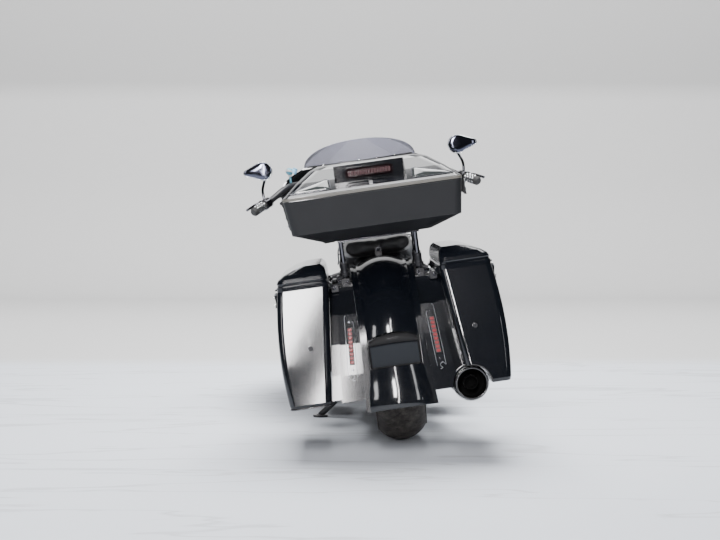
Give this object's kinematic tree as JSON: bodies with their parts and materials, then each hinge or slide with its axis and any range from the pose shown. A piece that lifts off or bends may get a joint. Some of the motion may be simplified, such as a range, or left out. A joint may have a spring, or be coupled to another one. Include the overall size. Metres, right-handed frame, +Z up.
{
  "type": "touring cruiser motorcycle",
  "caption": "Touring cruiser motorcycle with hard saddlebags, top case and fork-mounted fairing, leaning on its side stand.",
  "frame": {"origin": "on the ground, below the middle of the overall width and length of the machine as it parks", "axes": "+Y forward along the wheelbase, +Z up, +X to the machine's right; the machine leans about the Y axis towards -X"},
  "size_m": [1.088, 2.5118, 1.2317],
  "materials": {
    "black_frame": "gloss black powder coat",
    "axle_steel": "machined steel",
    "shock_chrome": "polished",
    "belt_rubber": "matte toothed belt",
    "engine_black": "wrinkle black",
    "cylinder_black": "black with bright fin edges",
    "bright_chrome": "polished",
    "pipe_chrome": "satin black ceramic coat",
    "muffler_black": "satin black",
    "body_paint": "gloss black with a blue cast",
    "satin_black": "satin black",
    "seat_vinyl": "soft black vinyl",
    "blank_plate": "blank light plate",
    "red_lens": "clear red lens",
    "case_grey": "matte dark grey",
    "dark_red_lens": "dark red lens",
    "board_rubber": "ribbed rubber on metal",
    "engine_black_gloss": "gloss black",
    "fork_black": "gloss black",
    "bar_black": "gloss black",
    "grip_rubber": "rubber with bright inlays",
    "mirror_chrome": "polished",
    "lamp_glass": "clear lens over bright bowl",
    "tinted_shield": "tinted clear",
    "teal_plastic": "glossy",
    "tyre": "matte rubber",
    "wheel_black": "gloss black cast",
    "disc_steel": "machined",
    "pulley_grey": "satin"
  },
  "bodies": {
    "frame": {"frame": "black_frame", "swingarm": "black_frame", "rear_axle": "axle_steel", "rear_shocks": "shock_chrome", "drive_belt": "belt_rubber", "engine_cases": "engine_black", "cylinders": "cylinder_black", "top_end": "bright_chrome", "engine_covers": "bright_chrome", "air_cleaner": "bright_chrome", "exhaust_pipes": "pipe_chrome", "muffler": "muffler_black", "fuel_tank": "body_paint", "tank_console": "satin_black", "seat": "seat_vinyl", "backrest": "seat_vinyl", "side_covers": "body_paint", "rear_fender": "body_paint", "plate": "blank_plate", "fender_fillers": "body_paint", "filler_lights": "red_lens", "saddlebag_left": "body_paint", "saddlebag_right": "body_paint", "top_case_base": "case_grey", "top_case_mount": "black_frame", "floorboards": "board_rubber", "engine_guard": "engine_black_gloss", "foot_controls": "bright_chrome"},
    "steering": {"fork_legs": "fork_black", "triple_clamps": "fork_black", "front_fender": "body_paint", "brake_calipers": "satin_black", "front_axle": "axle_steel", "handlebar": "bar_black", "grips": "grip_rubber", "hand_controls": "satin_black", "mirrors": "mirror_chrome", "fairing": "body_paint", "headlight": "lamp_glass", "dash": "satin_black", "windshield": "tinted_shield", "bar_accessory": "teal_plastic"},
    "front_wheel": {"front_tyre": "tyre", "front_wheel": "wheel_black", "front_discs": "disc_steel"},
    "rear_wheel": {"rear_tyre": "tyre", "rear_wheel": "wheel_black", "rear_disc": "disc_steel", "rear_pulley": "pulley_grey"},
    "side_stand": {"side_stand": "black_frame"},
    "left_bag_lid": {"saddlebag_lid_left": "body_paint"},
    "right_bag_lid": {"saddlebag_lid_right": "body_paint"},
    "top_case_lid": {"top_case_lid": "case_grey", "top_case_lamp": "dark_red_lens"}
  },
  "joints": [
    {"name": "steering_head", "type": "hinge", "parent": "frame", "child": "steering", "pos_m": [0.143, 1.0915, 0.00107], "axis": [-0.1251, -0.4384, 0.89], "range_deg": [-32, 32]},
    {"name": "front_wheel_spin", "type": "hinge", "parent": "steering", "child": "front_wheel", "pos_m": [0.09846, 0.9215, 0.31796], "axis": [0.9903, 0, 0.1392], "continuous": true},
    {"name": "rear_wheel_spin", "type": "hinge", "parent": "frame", "child": "rear_wheel", "pos_m": [0.09846, -0.7035, 0.31796], "axis": [0.9903, 0, 0.1392], "continuous": true},
    {"name": "side_stand_pivot", "type": "hinge", "parent": "frame", "child": "side_stand", "pos_m": [-0.05623, -0.1185, 0.13969], "axis": [-0.6362, 0, 0.7715], "range_deg": [0, 90]},
    {"name": "left_bag_lid_hinge", "type": "hinge", "parent": "frame", "child": "left_bag_lid", "pos_m": [-0.14295, -0.7035, 0.62737], "axis": [0, 1, 0], "range_deg": [0, 45]},
    {"name": "right_bag_lid_hinge", "type": "hinge", "parent": "frame", "child": "right_bag_lid", "pos_m": [0.24524, -0.7035, 0.68193], "axis": [0, -1, 0], "range_deg": [0, 45]},
    {"name": "top_case_lid_hinge", "type": "hinge", "parent": "frame", "child": "top_case_lid", "pos_m": [-0.3199, -0.7035, 0.92363], "axis": [0, -1, 0], "range_deg": [0, 70]}
  ]
}
